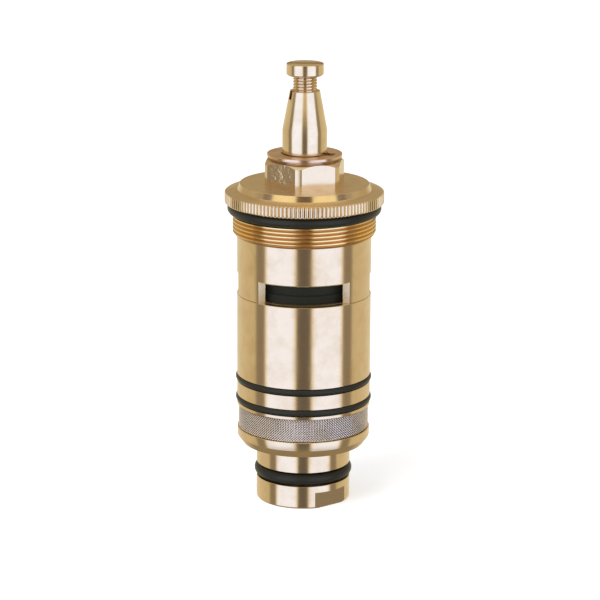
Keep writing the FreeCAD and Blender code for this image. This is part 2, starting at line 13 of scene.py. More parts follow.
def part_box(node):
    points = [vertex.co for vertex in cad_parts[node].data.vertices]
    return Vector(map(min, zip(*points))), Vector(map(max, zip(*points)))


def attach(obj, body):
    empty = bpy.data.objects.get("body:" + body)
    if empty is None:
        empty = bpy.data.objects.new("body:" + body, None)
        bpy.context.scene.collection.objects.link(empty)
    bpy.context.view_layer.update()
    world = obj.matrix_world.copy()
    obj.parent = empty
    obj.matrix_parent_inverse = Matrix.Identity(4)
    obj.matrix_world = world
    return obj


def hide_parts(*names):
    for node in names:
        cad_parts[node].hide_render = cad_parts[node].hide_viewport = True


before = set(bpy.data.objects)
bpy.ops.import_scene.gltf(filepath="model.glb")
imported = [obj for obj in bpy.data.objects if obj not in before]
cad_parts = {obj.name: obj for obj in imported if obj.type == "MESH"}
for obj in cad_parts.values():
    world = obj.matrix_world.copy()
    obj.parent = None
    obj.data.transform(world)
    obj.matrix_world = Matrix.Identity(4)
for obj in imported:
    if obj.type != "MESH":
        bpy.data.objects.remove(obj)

bl_info = {
    "name": "Mixing cartridge looks",
    "version": (1, 0, 0),
    "blender": (4, 5, 0),
    "location": "View3D > Sidebar > Cartridge",
    "description": "Turned brass pieces, seals, strainer weave and studio for a mixing cartridge",
    "category": "Object",
}

MM = 0.001
SEGMENTS = 240
KNURL_TEETH = 120
KNURL_COLUMNS = 5
SMOOTH_ANGLE = radians(20)
NEARLY_STRAIGHT = radians(160)
SECTOR_STEPS = 44
THREAD_STEPS = 120  # round one turn
THREAD_FOOT = 0.97  # a ridge's width at its root, as a share of the pitch
THREAD_CREST = 0.30  # and at its crest
OVERSHOOT = 1 * MM  # how far a cutter reaches past what it cuts
SEAL_PLAY = 0.03 * MM  # between an O-ring and its groove's floor
WINDOW_BEARINGS = [radians(degrees) for degrees in (0, 120, -120)]
SEAM_GAP = 0.02 * MM
HEX_CHAMFER = radians(40)
BOSS_HEIGHT = 0.3 * MM
PORTS = 8
PARTING_DEPTH = 0.015 * MM
WIRE_STEPS = 27
WIRE_CROSSINGS = 18
WIRE_WAVE = 0.25  # how far a wire goes over and under, as a share of its thickness
WIRE_LEAN = 0.5  # how far one set of wires lies outside the other, at the sides

# Finishes
MARKS_PER_MM = 6.0
MARKS_PER_RADIAN = 0.6
MARK_DEPTH = 0.02 * MM
TARNISH_SCALE = 220.0
TARNISH_TINT = (0.80, 0.70, 0.55)
ROUGHNESS_SPREAD = 0.06
FACED_ROUGHNESS = 0.20
SKIN_SCALE = 900.0
SKIN_BUMP = 0.08
DUST_SCALE = 135.0
SHINE_TINT = (1.0, 0.87, 0.62)

# Studio: what metal mirrors at a bearing (0 in front, 1 behind), in level, raised and steep directions
WARM_EDGE = (1.0, 0.89, 0.64)
LEVEL_PANEL = (1.16, 1.36, 2.06)
RAISED_PANEL = (1.16, 1.35, 2.03)
STEEP_PANEL = (1.15, 1.05, 0.71)
LEVEL_CARDS = [
    (0.062, (0.17, 0.15, 0.14)), (0.078, WARM_EDGE), (0.105, LEVEL_PANEL), (0.36, LEVEL_PANEL),
    (0.385, WARM_EDGE), (0.40, (0.29, 0.255, 0.21)), (0.492, (0.32, 0.28, 0.23)),
    (0.515, (0.68, 0.61, 0.44)), (0.95, (0.84, 0.77, 0.60)),
]
RAISED_CARDS = [
    (0.045, (0.74, 0.65, 0.48)), (0.08, (1.1, 1.12, 1.13)), (0.105, RAISED_PANEL), (0.36, RAISED_PANEL),
    (0.41, (0.40, 0.355, 0.30)), (0.49, (0.45, 0.40, 0.34)), (0.55, (0.60, 0.52, 0.36)),
    (0.95, (0.45, 0.36, 0.21)),
]
STEEP_CARDS = [
    (0.075, (0.20, 0.15, 0.105)), (0.095, STEEP_PANEL), (0.325, STEEP_PANEL),
    (0.355, (0.22, 0.17, 0.12)), (0.43, (0.26, 0.20, 0.14)), (0.47, (0.62, 0.54, 0.38)),
    (0.95, (0.45, 0.37, 0.24)),
]
OVERHEAD = (0.95, 0.89, 0.74)
UNDERNEATH = (0.34, 0.29, 0.21)
RAISED_FROM = (0.50, 0.56)  # each takes over between these heights, 0 straight down and 1 straight up
STEEP_FROM = (0.68, 0.72)
OVERHEAD_FROM = (0.84, 0.95)
DIFFUSE_LIGHT = 0.6
FLOOR_GLOW = 0.45
LENS = 162
CAMERA_PLACE = (-0.00099, -0.661, 0.2239)
CAMERA_TILT = radians(75.4)
CAMERA_ROLL = radians(0.28)


def length(label, millimetres, description):
    """A size property, given in millimetres and kept in metres."""
    return bpy.props.FloatProperty(name=label, description=description, default=millimetres * MM,
                                   min=0.0, unit="LENGTH", precision=5)


def colour(label, value, description):
    """A linear colour property."""
    return bpy.props.FloatVectorProperty(name=label, description=description, default=value,
                                         size=3, min=0.0, max=1.0, subtype="COLOR")


def angle(label, degrees, description):
    """An angle property, given in degrees."""
    return bpy.props.FloatProperty(name=label, description=description, default=radians(degrees),
                                   subtype="ANGLE")


def ring_of(name):
    """(outer radius, lowest, highest) of a turned node, from the frame."""
    low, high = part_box(name)
    return (high.x - low.x) / 2, low.z, high.z


def groove(seal, wall, width=None):
    """Outline of an O-ring's groove, from its lower edge, a little wider than the ring by default."""
    outside, low, high = ring_of(seal)
    middle, floor = (low + high) / 2, outside - (high - low) - SEAL_PLAY
    half = (width or high - low + 0.2 * MM) / 2
    return [(wall, middle - half), (floor, middle - half), (floor, middle + half), (wall, middle + half)]


class CartridgeBodySizes(bpy.types.PropertyGroup):
    """Sizes of the two body sleeves."""

    wall_radius: length("Body radius", 16.9, "Outside of both sleeves")
    upper_bore: length("Upper bore radius", 14.9, "Bore of the upper sleeve round the spigot")
    spigot_radius: length("Spigot radius", 14.85, "Outside of the lower sleeve's spigot")
    spigot_top: length("Spigot top", 67.0, "Top of the lower sleeve's spigot")
    shuttle_bore: length("Shuttle bore radius", 13.2, "Bore that the shuttle slides in")
    cap_bore: length("Cap thread radius", 14.45, "Bore that takes the outlet cap's spigot")
    cap_bore_top: length("Cap thread top", 31.0, "Top of that bore")
    seam_height: length("Seam height", 54.0, "Joint between the sleeves, also the windows' foot")
    seam_break: length("Seam chamfer", 0.12, "Small chamfer on both edges of the seam")
    window_top: length("Window top", 59.3, "Top edge of the three windows")
    window_half_angle: angle("Window half angle", 42.0, "Half of the angle that a window spans")
    window_chamfer: length("Window chamfer", 0.25, "Chamfer along a window's top edge")
    window_opening: length("Window opening", 4.6, "How far before the axis the end faces aim")
    spigot_margin: angle("Spigot margin", 8.0, "How much further the spigot is cut away")
    lip_bore: length("Strainer lip radius", 16.05, "Lip that centres the strainer")
    lip_height: length("Strainer lip height", 0.55, "How far the lip reaches into the strainer")
    foot: length("Lower sleeve foot", 24.9, "Face above the strainer")
    groove_width: length("Seal groove width", 1.75, "Width of the two body seal grooves")


class CartridgeHeadSizes(bpy.types.PropertyGroup):
    """Sizes of the flange, the mounting thread, the hexagon and the bearing."""

    thread_radius: length("Thread radius", 18.0, "Crest radius of the mounting thread")
    thread_depth: length("Thread depth", 0.55, "Radial depth of the mounting thread")
    thread_pitch: length("Thread pitch", 1.0, "Pitch of the mounting thread")
    thread_foot: length("Thread foot", 69.1, "Foot of the mounting thread")
    thread_runout: length("Thread run-out", 0.25, "Chamfer of the core at that foot")
    thread_lead_in: length("Thread lead-in", 0.9, "Height of the chamfer over the lowest ridges")
    thread_top: length("Thread top", 74.35, "Shoulder under the flange seal")
    neck_radius: length("Neck radius", 16.62, "Neck that the flange seal sits on")
    flange_radius: length("Flange radius", 20.0, "Crest radius of the knurled rim")
    flange_foot: length("Flange underside", 77.2, "Face above the flange seal")
    rim_top: length("Rim top", 80.1, "Top of the knurled rim")
    knurl_depth: length("Knurl depth", 0.42, "Depth of the straight knurl")
    knurl_rounding: length("Knurl rounding", 0.07, "How far the sides of a tooth's land fall off")
    rim_rise: length("Rim rise", 0.5, "How much the flange's top rises to the step")
    step_radius: length("Step radius", 16.85, "Foot of the tapered step round the flat")
    plateau_radius: length("Plateau radius", 16.2, "Edge of the flat round the hexagon")
    plateau_height: length("Plateau height", 82.1, "Height of that flat")
    hex_across_flats: length("Hexagon size", 18.7, "Distance across the hexagon's flats")
    hex_corner_radius: length("Hexagon corners", 10.35, "Radius that the corners are turned to")
    hex_bearing: angle("Hexagon bearing", 21.5, "Bearing of one of its flats")
    hex_top: length("Hexagon top", 88.2, "Top face of the hexagon")
    boss_radius: length("Boss radius", 7.7, "Low boss under the stop washer")
    bore_radius: length("Bearing radius", 5.26, "Bore that the spindle turns in")
    shoulder_height: length("Bearing shoulder", 79.3, "Inner shoulder above the chamber")
    chamber_radius: length("Chamber radius", 11.0, "Chamber of the regulating nut")


class CartridgeSpindleSizes(bpy.types.PropertyGroup):
    """Sizes of the spindle, its screw and the stop washer."""

    radius: length("Spindle radius", 5.6, "Plain cylinder under the cone")
    journal_radius: length("Journal radius", 5.2, "Journal inside the bearing")
    collar_radius: length("Collar radius", 8.5, "Collar under the bearing shoulder")
    collar_height: length("Collar height", 1.9, "Height of that collar")
    collar_top: length("Collar top", 78.8, "Top of that collar")
    stud_radius: length("Stud radius", 4.0, "Threaded stud in the regulating nut")
    step_height: length("Step height", 89.75, "Step from the journal to the cylinder")
    cone_foot: length("Cone foot", 95.7, "Where the cone starts")
    cone_top_radius: length("Cone top radius", 3.75, "Radius at the cone's end")
    hole_radius: length("Screw hole radius", 3.05, "Tapped hole in the spindle's end")
    hole_foot: length("Screw hole foot", 94.5, "Where that hole's cone starts")
    hole_tip: length("Screw hole tip", 92.8, "Where that cone ends")
    hole_tip_radius: length("Tip radius", 0.4, "Radius of the thin core below it")
    notch_bearing: angle("Notch bearing", -65.0, "Bearing of the notch in the cone's rim")
    notch_width: length("Notch width", 1.3, "Width of that notch")
    notch_depth: length("Notch depth", 2.1, "Depth of that notch")
    head_foot: length("Screw head foot", 109.3, "Underside of the screw's head")
    head_radius: length("Screw head radius", 4.65, "Radius of the screw's head")
    head_chamfer: length("Screw head chamfer", 0.35, "Chamfer under the screw's head")
    head_break: length("Screw head edge", 0.12, "Small chamfer round the head's top")
    point_chamfer: length("Screw point", 0.3, "Chamfer of the screw's end")
    screw_radius: length("Screw radius", 3.0, "Crest radius of the screw's thread")
    screw_pitch: length("Screw pitch", 0.75, "Pitch of the screw's thread")
    screw_thread_depth: length("Screw thread depth", 0.4, "Radial depth of the screw's thread")
    slot_width: length("Slot width", 1.0, "Width of the screwdriver slot")
    slot_depth: length("Slot depth", 1.1, "Depth of the screwdriver slot")
    washer_hole: length("Washer hole", 5.85, "Hole radius of the stop washer")
    washer_notch_bearing: angle("Washer notch", 71.0, "Bearing of the notch beside the spindle")
    washer_notch_width: length("Washer notch width", 3.2, "Width of that notch")
    washer_notch_radius: length("Washer notch reach", 7.7, "Radius that the notch reaches")
    washer_break: length("Washer edge", 0.08, "Small chamfer round the washer's top")
    washer_relief: length("Washer relief", 1.6, "How far the washer's underside is relieved")
    washer_relief_height: length("Washer relief height", 0.45, "Height of the gap under its rim")


class CartridgeOutletSizes(bpy.types.PropertyGroup):
    """Sizes of the outlet cap and the strainer."""

    nipple_radius: length("Nipple radius", 11.9, "Outside of the outlet nipple")
    nipple_height: length("Nipple height", 14.9, "Height of the nipple")
    nipple_chamfer: length("Nipple chamfer", 0.35, "Chamfer of the nipple's foot")
    bore_radius: length("Outlet radius", 6.8, "Bore of the outlet")
    shelf_height: length("Spring shelf", 16.0, "Shelf that the return spring stands on")
    groove_width: length("Groove width", 3.6, "Width of the outlet seal's groove")
    flange_radius: length("Strainer flange", 16.8, "Radius of the flange under the strainer")
    flange_foot_radius: length("Flange foot radius", 15.4, "Radius at the foot of its taper")
    taper_height: length("Taper height", 1.95, "Height of that taper")
    flange_top: length("Flange top", 19.05, "Face under the strainer")
    flats_across: length("Spanner flats", 21.8, "Distance across the two spanner flats")
    flats_height: length("Flats height", 4.2, "Height of the spanner flats")
    flats_bearing: angle("Flats bearing", 38.7, "Bearing of one spanner flat")
    spigot_radius: length("Spigot radius", 14.4, "Threaded spigot inside the strainer")
    spigot_bore: length("Spigot bore", 12.9, "Inside of that spigot")
    spigot_top: length("Spigot top", 29.5, "Hot seat at the spigot's top")
    seat_radius: length("Seat tube radius", 11.2, "Outside of the inner seat tube")
    seat_bore: length("Seat tube bore", 9.4, "Inside of that tube")
    port_width: length("Port width", 6.0, "Width of a hot port")
    port_height: length("Port height", 4.2, "Height of a hot port")
    port_foot: length("Port foot", 20.0, "Foot of the hot ports")
    wire: length("Strainer wire", 0.24, "Diameter of the strainer's wire")
    wire_spacing: length("Strainer mesh", 0.66, "Spacing of the wires round the strainer")


class CartridgeColours(bpy.types.PropertyGroup):
    """Colours of the finishes."""

    brass: colour("Brass", (0.80, 0.62, 0.38), "Turned brass of the body")
    spindle: colour("Spindle brass", (0.82, 0.65, 0.41), "Spindle and handle screw")
    # Painted shade: the thread's root is coloured darker than its crests, in place of the shade in its
    # hollows
    thread: colour("Thread root", (0.70, 0.37, 0.14), "Warm brass in the mounting thread's root")
    thread_crest: colour("Thread crest", (0.88, 0.66, 0.28), "Brass of the mounting thread's crests")
    milled: colour("Milled brass", (0.92, 0.78, 0.50), "Pale end faces of the windows")
    washer: colour("Washer brass", (0.76, 0.54, 0.37), "Coppery stop washer")
    # Partly the milled finish and partly painted light: paler so that the end faces in the window's shade
    # look lit
    copper: colour("Copper", (0.80, 0.42, 0.26), "Wax element's cup")
    steel: colour("Steel", (0.62, 0.60, 0.58), "Springs and clips")
    strainer: colour("Strainer wire", (0.96, 0.86, 0.76), "Stainless wire of the strainer")
    # Painted shade: wires nearer the axis, under the outer set, take this darker colour in place of their
    # shadow
    strainer_painted_shade: colour("Strainer shade", (0.20, 0.15, 0.14), "Wire where it dives under another")
    rubber: colour("Rubber", (0.020, 0.021, 0.019), "Seals")
    plastic: colour("Black plastic", (0.036, 0.040, 0.034), "Shuttle")
    wax: colour("Wax", (0.68, 0.60, 0.40), "Charge of the element")
    pale: colour("Pale plastic", (0.72, 0.71, 0.67), "Thrust washer")


def sizes():
    """The scene's size and colour groups."""
    return bpy.context.scene.cartridge


class CartridgeSettings(bpy.types.PropertyGroup):
    """All groups together, on the scene."""

    body: bpy.props.PointerProperty(type=CartridgeBodySizes, name="Body", description="Body sleeves")
    head: bpy.props.PointerProperty(type=CartridgeHeadSizes, name="Head", description="Flange and hexagon")
    spindle: bpy.props.PointerProperty(type=CartridgeSpindleSizes, name="Spindle", description="Spindle")
    outlet: bpy.props.PointerProperty(type=CartridgeOutletSizes, name="Outlet", description="Outlet cap")
    colours: bpy.props.PointerProperty(type=CartridgeColours, name="Colours", description="Finishes")


# Modelling helpers


def clear_selection():
    """Leaves object mode with nothing selected."""
    if bpy.context.object and bpy.context.object.mode != "OBJECT":
        bpy.ops.object.mode_set(mode="OBJECT")
    bpy.ops.object.select_all(action="DESELECT")


def pick(obj):
    """Makes obj the only selected and active object."""
    clear_selection()
    obj.select_set(True)
    bpy.context.view_layer.objects.active = obj
    return obj


def settle(obj, name):
    """Moves an object's place into its mesh, names it and shades it smooth between sharp edges."""
    pick(obj)
    bpy.ops.object.transform_apply()
    bpy.ops.object.shade_smooth_by_angle(angle=SMOOTH_ANGLE)
    obj.name = name
    obj.data.name = name
    return obj


def face_outwards(obj):
    """Merges doubles and turns every face outwards."""
    pick(obj)
    bpy.ops.object.mode_set(mode="EDIT")
    bpy.ops.mesh.select_all(action="SELECT")
    bpy.ops.mesh.remove_doubles(threshold=1e-6)
    bpy.ops.mesh.normals_make_consistent(inside=False)
    bpy.ops.object.mode_set(mode="OBJECT")
    return obj


def eased(outline, ease):
    """An outline with each corner cut by about ease, where its sides leave room."""
    result = []
    count = len(outline)
    for i, corner in enumerate(outline):
        here = Vector(corner)
        before = Vector(outline[i - 1]) - here
        after = Vector(outline[(i + 1) % count]) - here
        if before.angle(after) > NEARLY_STRAIGHT:
            result.append(tuple(here))
            continue
        reach = min(ease, before.length * 0.4, after.length * 0.4)
        result += [tuple(here + side.normalized() * reach) for side in (before, after)]
    return result


def extruded(points, segments, fill):
    """A circle extruded and resized from one (radius, height) point to the next."""
    clear_selection()
    bpy.ops.mesh.primitive_circle_add(vertices=segments, radius=points[0][0],
                                      location=(0, 0, points[0][1]), fill_type=fill)
    bpy.ops.object.mode_set(mode="EDIT")
    bpy.ops.mesh.select_all(action="SELECT")
    for here, there in zip(points, points[1:]):
        bpy.ops.mesh.extrude_region_move(TRANSFORM_OT_translate={"value": (0, 0, there[1] - here[1])})
        scale = there[0] / here[0]
        bpy.ops.transform.resize(value=(scale, scale, 1), center_override=(0, 0, 0))
    bpy.ops.object.mode_set(mode="OBJECT")
    bpy.ops.object.transform_apply()
    return face_outwards(bpy.context.object)


def lathe(outline, ease=0.1 * MM, segments=SEGMENTS):
    """A turned ring from a closed outline of (radius, height) points."""
    points = eased(outline, ease)
    return extruded(points + points[:1], segments, "NOTHING")


def lathe_solid(outline, ease, segments):
    """A turned solid from (radius, height) points, going up from its lowest face."""
    low, high = outline[0], outline[-1]
    points = eased([(0.0, low[1]), *outline, (0.0, high[1])], ease)
    return extruded([point for point in points if point[0] > ease], segments, "NGON")


def turned_to(obj, bearing):
    """Turns an object made at the front to a bearing."""
    pick(obj)
    obj.rotation_euler = (0, 0, bearing)
    bpy.ops.object.transform_apply()
    return obj


def block(width, near, far, foot, top, bearing=0.0):
    """A cutter block centred on the front, from one radius to another, turned to a bearing."""
    clear_selection()
    bpy.ops.mesh.primitive_cube_add(size=1, location=(0, -(near + far) / 2, (foot + top) / 2))
    obj = bpy.context.object
    obj.scale = (width, far - near, top - foot)
    bpy.ops.object.transform_apply()
    return turned_to(obj, bearing)


def opened(cutter, radius, apex):
    """Slants a front cutter's end faces about its edges at radius, so that they aim before the axis."""
    limit = max(abs(atan2(v.co.x, -v.co.y)) for v in cutter.data.vertices)
    edge = Vector((radius * sin(limit), -radius * cos(limit)))
    inwards = Vector((-edge.x, -apex - edge.y)).normalized()
    for vertex in cutter.data.vertices:
        here = vertex.co
        distance = here.xy.length
        end = edge + inwards * (radius - distance)
        bearing = atan2(here.x, -here.y) * atan2(end.x, -end.y) / limit
        vertex.co = (distance * sin(bearing), -distance * cos(bearing), here.z)
    return cutter


def sector(half_angle, outline, bearing=0.0):
    """A cutter with radial end faces, spun from a closed outline of (radius, height) points."""
    clear_selection()
    bpy.ops.mesh.primitive_circle_add(vertices=len(outline), radius=1, fill_type="NGON")
    obj = bpy.context.object
    for vertex, (radius, height) in zip(obj.data.vertices, outline):
        vertex.co = (0, -radius, height)
    turned_to(obj, half_angle)
    bpy.ops.object.mode_set(mode="EDIT")
    bpy.ops.mesh.select_all(action="SELECT")
    bpy.ops.mesh.spin(steps=SECTOR_STEPS, angle=2 * half_angle, center=(0, 0, 0), axis=(0, 0, 1))
    bpy.ops.object.mode_set(mode="OBJECT")
    face_outwards(obj)
    return turned_to(obj, bearing)


def combine(obj, tool, operation="DIFFERENCE"):
    """Applies an exact boolean with another object, which is then deleted."""
    pick(obj)
    modifier = obj.modifiers.new("combine", "BOOLEAN")
    modifier.operation = operation
    modifier.solver = "EXACT"
    modifier.material_mode = "TRANSFER"
    modifier.object = tool
    bpy.ops.object.modifier_apply(modifier=modifier.name)
    bpy.data.objects.remove(tool)
    return obj


def joined(parts):
    """Several objects made one."""
    clear_selection()
    for part in parts:
        part.select_set(True)
    bpy.context.view_layer.objects.active = parts[0]
    bpy.ops.object.join()
    return bpy.context.object


def thread(root, crest, pitch, foot, turns):
    """A helical ridge, swept by a Screw modifier from a closed tooth whose back is sunk in the core."""
    back = root - 0.15 * (crest - root)
    half_foot = pitch * THREAD_FOOT / 2
    half_crest = pitch * THREAD_CREST / 2
    tooth = [(back, -half_foot), (root, -half_foot), (crest, -half_crest), (crest, half_crest),
             (root, half_foot), (back, half_foot)]
    clear_selection()
    bpy.ops.mesh.primitive_circle_add(vertices=len(tooth), radius=crest)
    obj = bpy.context.object
    for vertex, (radius, height) in zip(obj.data.vertices, tooth):
        vertex.co = (radius, 0, foot + height)
    screw = obj.modifiers.new("sweep", "SCREW")
    screw.angle = 2 * pi * turns
    screw.screw_offset = pitch * turns
    screw.steps = screw.render_steps = round(THREAD_STEPS * turns)
    bpy.ops.object.modifier_apply(modifier=screw.name)
    bpy.ops.object.mode_set(mode="EDIT")
    bpy.ops.mesh.select_all(action="SELECT")
    bpy.ops.mesh.remove_doubles(threshold=1e-7)
    bpy.ops.mesh.select_all(action="DESELECT")
    bpy.ops.mesh.select_mode(type="EDGE")
    bpy.ops.mesh.select_non_manifold()
    bpy.ops.mesh.edge_face_add()
    bpy.ops.mesh.select_all(action="SELECT")
    bpy.ops.mesh.normals_make_consistent(inside=False)
    bpy.ops.object.mode_set(mode="OBJECT")
    return obj


def coat(obj, material):
    """Gives an object one material."""
    obj.data.materials.clear()
    obj.data.materials.append(material)


def finished(obj, name, body, material, replaced=()):
    """Settles a piece, gives it its finish and hangs it on its body."""
    settle(obj, name)
    if material:
        coat(obj, material)
    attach(obj, body)
    if replaced:
        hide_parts(*replaced)
    return obj


# Materials


def feed(tree, made, inputs):
    """Feeds a node's inputs, each with a socket to link, a value, or three numbers for a colour."""
    for key, value in inputs.items():
        if isinstance(value, bpy.types.NodeSocket):
            tree.links.new(value, made.inputs[key])
        elif made.inputs[key].type == "RGBA":
            made.inputs[key].default_value = (*value, 1)
        else:
            made.inputs[key].default_value = value


def node(tree, kind, inputs=None, **settings):
    """A node with its settings and inputs made at once."""
    made = tree.nodes.new(kind)
    for key, value in settings.items():
        setattr(made, key, value)
    feed(tree, made, inputs or {})
    return made


def math_node(tree, operation, *values):
    """A Math node fed by sockets or numbers."""
    return node(tree, "ShaderNodeMath", dict(enumerate(values)), operation=operation).outputs[0]


def times(tree, first, second):
    """A product of sockets or numbers."""
    return math_node(tree, "MULTIPLY", first, second)


def plus(tree, first, second):
    """A sum of sockets or numbers."""
    return math_node(tree, "ADD", first, second)


def blend(tree, share, first, second):
    """Mixes two colours, each of them a socket or a plain colour, by a share."""
    mix = node(tree, "ShaderNodeMix", data_type="RGBA")
    feed(tree, mix, {"Factor": share, "A": first, "B": second})
    return mix.outputs["Result"]


def noise(tree, vector, scale, detail, roughness=0.5):
    """A noise texture's value."""
    return node(tree, "ShaderNodeTexNoise", {
        "Vector": vector, "Scale": scale, "Detail": detail, "Roughness": roughness,
    }).outputs["Fac"]


def bump(tree, height, strength, distance):
    """A Bump node."""
    return node(tree, "ShaderNodeBump", {"Height": height, "Strength": strength, "Distance": distance})


def ramp(tree, value, stops):
    """A ColorRamp from (place, grey or colour) stops."""
    made = node(tree, "ShaderNodeValToRGB", {"Fac": value})
    elements = made.color_ramp.elements
    while len(elements) < len(stops):
        elements.new(0.5)
    for element, (place, shade) in zip(elements, stops):
        element.position = place
        element.color = (*shade, 1) if isinstance(shade, tuple) else (shade, shade, shade, 1)
    return made.outputs["Color"]


def place_on(tree):
    """The Object coordinates."""
    return node(tree, "ShaderNodeTexCoord").outputs["Object"]


def axes_of(tree, vector):
    """A vector's X, Y and Z."""
    return node(tree, "ShaderNodeSeparateXYZ", {0: vector}).outputs


def lathe_marks_group():
    """Tool marks round the axis as Height, broad tarnish as a mask, and the distance from the axis."""
    name = "lathe_marks"
    if name in bpy.data.node_groups:
        return bpy.data.node_groups[name]
    group = bpy.data.node_groups.new(name, "ShaderNodeTree")
    for output in ("Height", "Tarnish", "Radius in mm"):
        group.interface.new_socket(name=output, in_out="OUTPUT", socket_type="NodeSocketFloat")
    place = place_on(group)
    x, y, z = axes_of(group, place)
    radius = math_node(group, "SQRT", plus(group, times(group, x, x), times(group, y, y)))
    radius = times(group, radius, 1 / MM)
    turn = math_node(group, "ARCTAN2", y, x)
    rings = node(group, "ShaderNodeCombineXYZ", {
        0: radius, 1: times(group, turn, MARKS_PER_RADIAN), 2: times(group, z, 1 / MM),
    })
    node(group, "NodeGroupOutput", {
        "Height": noise(group, rings.outputs[0], MARKS_PER_MM, 3.0),
        "Tarnish": noise(group, place, TARNISH_SCALE, 5.0, 0.6),
        "Radius in mm": radius,
    })
    return group


def new_material(name):
    """An empty material with its Principled BSDF."""
    material = bpy.data.materials.new(name)
    material.use_nodes = True
    return material, material.node_tree, material.node_tree.nodes["Principled BSDF"]


def turned_metal(name, base, roughness=0.13, marks=0.25, tarnish=0.12):
    """Satin metal off a lathe: rings in the bump, slight tarnish, and duller where it was faced off."""
    name = f"{name}_finish"
    if name in bpy.data.materials:
        return bpy.data.materials[name]
    material, tree, shader = new_material(name)
    group = node(tree, "ShaderNodeGroup", node_tree=lathe_marks_group())
    mask = ramp(tree, group.outputs["Tarnish"], [(0.42, 0.0), (0.75, 1.0)])
    stained = tuple(share * fade for share, fade in zip(base, TARNISH_TINT))
    rough = times(tree, group.outputs["Height"], ROUGHNESS_SPREAD)
    rough = plus(tree, rough, roughness - ROUGHNESS_SPREAD / 2)
    rough = plus(tree, rough, times(tree, mask, tarnish * 0.5))
    facing = axes_of(tree, node(tree, "ShaderNodeNewGeometry").outputs["Normal"])
    faced = ramp(tree, facing["Z"], [(0.6, 0.0), (0.98, 1.0)])
    feed(tree, shader, {
        "Metallic": 1.0,
        "Base Color": blend(tree, times(tree, mask, tarnish * 4), base, stained),
        "Roughness": plus(tree, rough, times(tree, faced, FACED_ROUGHNESS)),
        "Normal": bump(tree, group.outputs["Height"], marks, MARK_DEPTH).outputs["Normal"],
    })
    return material


def moulded(name, base, roughness, shine=0.35, speckle=0.05):
    """Rubber or plastic with a faint skin."""
    name = f"{name}_finish"
    if name in bpy.data.materials:
        return bpy.data.materials[name]
    material, tree, shader = new_material(name)
    place = place_on(tree)
    skin = noise(tree, place, SKIN_SCALE, 4.0)
    dust = noise(tree, place, DUST_SCALE, 3.0)
    lighter = tuple(min(1, share + 0.25) for share in base)
    feed(tree, shader, {
        "Specular IOR Level": shine,
        "Specular Tint": SHINE_TINT,
        "Base Color": blend(tree, times(tree, dust, speckle), base, lighter),
        "Roughness": plus(tree, times(tree, dust, 0.12), roughness - 0.06),
        "Normal": bump(tree, skin, SKIN_BUMP, MARK_DEPTH).outputs["Normal"],
    })
    return material


def paint_shade_by_radius(material, low, high, shade, tint):
    """Paints shade into a turned metal by its distance from the axis: the painted shade colour up to low,
    the lit colour tint from high.
    """
    tree = material.node_tree
    share = node(tree, "ShaderNodeMapRange", {
        "Value": tree.nodes["Group"].outputs["Radius in mm"],
        "From Min": low / MM,
        "From Max": high / MM,
    })
    feed(tree, tree.nodes["Principled BSDF"],
         {"Base Color": blend(tree, share.outputs["Result"], shade, tint)})
    return material


def milled_brass():
    """Pale, finely milled faces of the windows; the pale colour partly paints light onto faces that lie in
    the window's shade.
    """
    name = "milled_brass"
    if name in bpy.data.materials:
        return bpy.data.materials[name]
    material, tree, shader = new_material(name)
    grain = noise(tree, place_on(tree), 1500.0, 3.0)
    feed(tree, shader, {
        "Base Color": sizes().colours.milled,
        "Metallic": 0.8,
        "Roughness": plus(tree, times(tree, grain, 0.2), 0.2),
    })
    return material


def brass():
    """Finish of the body pieces."""
    return turned_metal("body_brass", sizes().colours.brass)


def rubber():
    """Finish of the seals."""
    return moulded("seal_rubber", sizes().colours.rubber, 0.34, shine=0.28, speckle=0.01)


def steel():
    """Finish of springs, pin and clips."""
    return turned_metal("drawn_steel", sizes().colours.steel, roughness=0.25)


# Pieces


